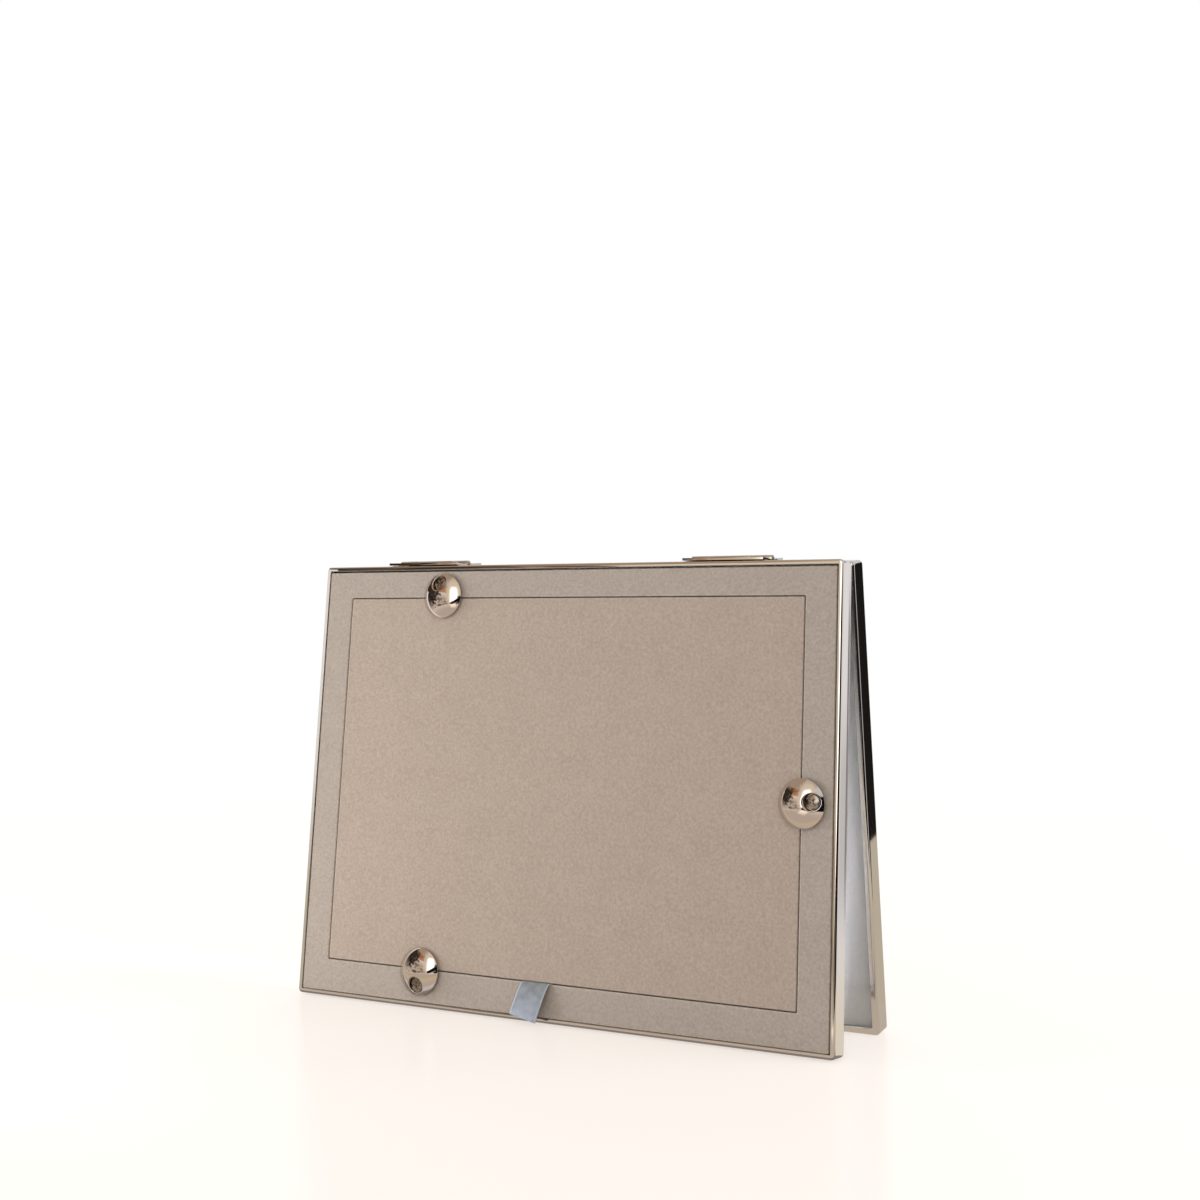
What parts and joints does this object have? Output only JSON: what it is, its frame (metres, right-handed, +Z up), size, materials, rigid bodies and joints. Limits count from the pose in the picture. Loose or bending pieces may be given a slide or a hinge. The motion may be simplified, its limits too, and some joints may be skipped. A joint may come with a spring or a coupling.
{
  "type": "double photo frame",
  "caption": "Hinged double photo frame: two polished metal leaves with glass, mats and covered lift-out backs held by turn buttons, stood as a tent.",
  "frame": {"origin": "on the ground under the middle of the tent that the two leaves make", "axes": "+X along the hinges, +Y from the front leaf to the back leaf, +Z up"},
  "size_m": [0.2084, 0.0554, 0.1568],
  "materials": {
    "frame_metal": "polished nickel plate",
    "button_metal": "polished nickel plate",
    "screw_steel": "plated steel",
    "hinge_metal": "polished nickel plate",
    "glass": "clear",
    "mat_board": "matt",
    "photo_card": "matt, blank",
    "border_cover": "suede paper over board",
    "door_cover": "suede paper over board",
    "ribbon": "satin ribbon"
  },
  "bodies": {
    "front_leaf": {"front_frame": "frame_metal", "front_glass": "glass", "front_mat": "mat_board", "front_photo_card": "photo_card", "front_border_board": "border_cover", "front_door_panel": "door_cover", "front_top_screw": "screw_steel", "front_side_screw": "screw_steel", "front_bottom_screw": "screw_steel", "front_ribbon_tab": "ribbon", "left_hinge_front_plate": "hinge_metal", "right_hinge_front_plate": "hinge_metal", "left_hinge_pin": "hinge_metal", "right_hinge_pin": "hinge_metal"},
    "back_leaf": {"back_frame": "frame_metal", "back_glass": "glass", "back_mat": "mat_board", "back_photo_card": "photo_card", "back_border_board": "border_cover", "back_door_panel": "door_cover", "back_top_screw": "screw_steel", "back_side_screw": "screw_steel", "back_bottom_screw": "screw_steel", "back_ribbon_tab": "ribbon", "left_hinge_back_plate": "hinge_metal", "right_hinge_back_plate": "hinge_metal"},
    "front_top_button": {"front_top_button": "button_metal"},
    "front_side_button": {"front_side_button": "button_metal"},
    "front_bottom_button": {"front_bottom_button": "button_metal"},
    "back_top_button": {"back_top_button": "button_metal"},
    "back_side_button": {"back_side_button": "button_metal"},
    "back_bottom_button": {"back_bottom_button": "button_metal"}
  },
  "joints": [
    {"name": "fold", "type": "hinge", "parent": "front_leaf", "child": "back_leaf", "pos_m": [0, 0, 0.15564], "axis": [1, 0, 0], "range_deg": [-11, 169]},
    {"name": "front_top_button_turn", "type": "hinge", "parent": "front_leaf", "child": "front_top_button", "pos_m": [-0.0507, -0.00946, 0.14811], "axis": [0, -0.9954, 0.0958], "continuous": true},
    {"name": "front_side_button_turn", "type": "hinge", "parent": "front_leaf", "child": "front_side_button", "pos_m": [0.096, -0.01623, 0.07784], "axis": [0, -0.9954, 0.0958], "continuous": true},
    {"name": "front_bottom_button_turn", "type": "hinge", "parent": "front_leaf", "child": "front_bottom_button", "pos_m": [-0.0507, -0.0229, 0.00856], "axis": [0, -0.9954, 0.0958], "continuous": true},
    {"name": "back_top_button_turn", "type": "hinge", "parent": "back_leaf", "child": "back_top_button", "pos_m": [0.0507, 0.00946, 0.14811], "axis": [0, 0.9954, 0.0958], "continuous": true},
    {"name": "back_side_button_turn", "type": "hinge", "parent": "back_leaf", "child": "back_side_button", "pos_m": [-0.096, 0.01623, 0.07784], "axis": [0, 0.9954, 0.0958], "continuous": true},
    {"name": "back_bottom_button_turn", "type": "hinge", "parent": "back_leaf", "child": "back_bottom_button", "pos_m": [0.0507, 0.0229, 0.00856], "axis": [0, 0.9954, 0.0958], "continuous": true}
  ]
}
